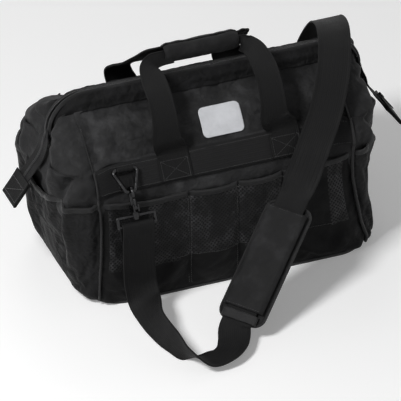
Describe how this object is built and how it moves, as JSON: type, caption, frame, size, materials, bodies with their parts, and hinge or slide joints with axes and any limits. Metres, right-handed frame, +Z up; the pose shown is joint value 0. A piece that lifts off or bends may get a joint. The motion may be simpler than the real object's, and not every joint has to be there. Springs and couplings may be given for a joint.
{
  "type": "tool bag",
  "caption": "Black wide-mouth tool bag with outside pockets, zipped steel-framed mouth, two carrying handles, and a padded shoulder strap on snap hooks.",
  "frame": {"origin": "middle of the flat base, on the floor", "axes": "+Z up, +X along the bag to its right end seen from the front, -Y towards the front with the label"},
  "size_m": [0.596, 0.5201, 0.3369],
  "materials": {
    "body_cloth": "matt",
    "pocket_cloth": "matt",
    "webbing": "matt",
    "binding": "satin",
    "bottom": "matt",
    "board": "matt",
    "steel_rod": "satin",
    "dark_steel": "satin",
    "zipper": "matt",
    "black_plastic": "satin",
    "label": "satin"
  },
  "bodies": {
    "bag": {"base_panel": "bottom", "base_board": "board", "front_wall": "body_cloth", "rear_wall": "body_cloth", "left_end_wall": "body_cloth", "right_end_wall": "body_cloth", "front_upper_panel": "body_cloth", "rear_upper_panel": "body_cloth", "left_front_gusset": "body_cloth", "left_rear_gusset": "body_cloth", "right_front_gusset": "body_cloth", "right_rear_gusset": "body_cloth", "front_pocket_panel": "pocket_cloth", "rear_pocket_panel": "pocket_cloth", "left_end_pocket": "pocket_cloth", "right_end_pocket": "pocket_cloth", "front_pocket_dividers": "pocket_cloth", "rear_pocket_dividers": "pocket_cloth", "front_pocket_binding": "binding", "rear_pocket_binding": "binding", "left_pocket_binding": "binding", "right_pocket_binding": "binding", "front_inner_pocket": "pocket_cloth", "rear_inner_pocket": "pocket_cloth", "front_webbing_band": "webbing", "rear_webbing_band": "webbing", "corner_piping": "binding", "left_hinge_rivet": "dark_steel", "right_hinge_rivet": "dark_steel", "left_zip_tail": "zipper", "right_zip_tail": "zipper", "left_zip_tab": "webbing", "right_zip_tab": "webbing", "left_ring_anchor": "webbing", "right_ring_anchor": "webbing", "shoulder_strap": "webbing", "plain_label": "label"},
    "mouth_front": {"front_frame_bar": "steel_rod", "front_mouth_sleeve": "body_cloth", "front_zip_tape": "zipper"},
    "mouth_rear": {"rear_frame_bar": "steel_rod", "rear_mouth_sleeve": "body_cloth", "rear_zip_tape": "zipper"},
    "handle_front": {"front_handle": "webbing", "grip_wrap": "pocket_cloth"},
    "flap": {"grip_flap": "pocket_cloth"},
    "handle_rear": {"rear_handle": "webbing"},
    "ring_left": {"left_ring": "dark_steel"},
    "hook_left": {"left_hook": "dark_steel"},
    "gate_left": {"left_hook_gate": "dark_steel"},
    "swivel_left": {"left_swivel_loop": "dark_steel"},
    "ring_right": {"right_ring": "dark_steel"},
    "hook_right": {"right_hook": "dark_steel"},
    "gate_right": {"right_hook_gate": "dark_steel"},
    "swivel_right": {"right_swivel_loop": "dark_steel"},
    "pad": {"pad_cushion": "pocket_cloth", "pad_sleeve": "pocket_cloth"},
    "adjuster": {"strap_adjuster": "black_plastic"},
    "slider": {"zip_slider": "dark_steel"},
    "pull": {"zip_pull": "dark_steel"}
  },
  "joints": [
    {"name": "mouth_front_opens", "type": "hinge", "parent": "bag", "child": "mouth_front", "pos_m": [0, 0, 0.20793], "axis": [1, 0, 0], "range_deg": [0, 40], "deforming": ["front_upper_panel", "left_front_gusset", "right_front_gusset", "plain_label"]},
    {"name": "mouth_rear_opens", "type": "hinge", "parent": "bag", "child": "mouth_rear", "pos_m": [0, 0, 0.20793], "axis": [-1, 0, 0], "range_deg": [0, 40], "deforming": ["rear_upper_panel", "left_rear_gusset", "right_rear_gusset"]},
    {"name": "handle_front_folds", "type": "hinge", "parent": "bag", "child": "handle_front", "pos_m": [0, -0.09216, 0.21613], "axis": [1, 0, 0], "range_deg": [0, 115]},
    {"name": "handle_rear_folds", "type": "hinge", "parent": "bag", "child": "handle_rear", "pos_m": [0, 0.09216, 0.21613], "axis": [-1, 0, 0], "range_deg": [0, 115]},
    {"name": "grip_flap_opens", "type": "hinge", "parent": "handle_front", "child": "flap", "pos_m": [0, 0, 0.335], "axis": [1, 0, 0], "range_deg": [0, 120], "deforming": ["grip_flap"]},
    {"name": "pad_slides", "type": "slide", "parent": "bag", "child": "pad", "axis": [0.6227, 0.467, 0.6278], "range_m": [-0.022, 0.02], "deforming": ["shoulder_strap"]},
    {"name": "adjuster_slides", "type": "slide", "parent": "bag", "child": "adjuster", "axis": [0, 0, 1], "range_m": [-0.02, 0.02]},
    {"name": "slider_runs", "type": "slide", "parent": "bag", "child": "slider", "axis": [-0.5878, 0, 0.809], "range_m": [0, 0.018]},
    {"name": "pull_lifts", "type": "hinge", "parent": "slider", "child": "pull", "pos_m": [0.27277, 0, 0.17338], "axis": [0, -1, 0], "range_deg": [0, 150]},
    {"name": "ring_left_swings", "type": "hinge", "parent": "bag", "child": "ring_left", "pos_m": [-0.1591, -0.09937, 0.21193], "axis": [-1, 0, 0], "range_deg": [0, 70]},
    {"name": "hook_left_swings", "type": "hinge", "parent": "ring_left", "child": "hook_left", "pos_m": [-0.1591, -0.12542, 0.19008], "axis": [-1, 0, 0], "range_deg": [0, 45]},
    {"name": "gate_left_opens", "type": "hinge", "parent": "hook_left", "child": "gate_left", "pos_m": [-0.1591, -0.14425, 0.17393], "axis": [-1, 0, 0], "range_deg": [0, 30], "stiffness_Nm_per_rad": 0.01, "springref_deg": -17.19},
    {"name": "swivel_left_turns", "type": "hinge", "parent": "hook_left", "child": "swivel_left", "pos_m": [-0.1591, -0.1423, 0.16408], "axis": [0, 0.5446, 0.8387], "range_deg": [-40, 40]},
    {"name": "ring_right_swings", "type": "hinge", "parent": "bag", "child": "ring_right", "pos_m": [0.1591, 0.09937, 0.21193], "axis": [1, 0, 0], "range_deg": [0, 70]},
    {"name": "hook_right_swings", "type": "hinge", "parent": "ring_right", "child": "hook_right", "pos_m": [0.1591, 0.12542, 0.19008], "axis": [1, 0, 0], "range_deg": [0, 45]},
    {"name": "gate_right_opens", "type": "hinge", "parent": "hook_right", "child": "gate_right", "pos_m": [0.1591, 0.14425, 0.17393], "axis": [1, 0, 0], "range_deg": [0, 30], "stiffness_Nm_per_rad": 0.01, "springref_deg": -17.19},
    {"name": "swivel_right_turns", "type": "hinge", "parent": "hook_right", "child": "swivel_right", "pos_m": [0.1591, 0.1423, 0.16408], "axis": [0, -0.5446, 0.8387], "range_deg": [-40, 40]}
  ]
}
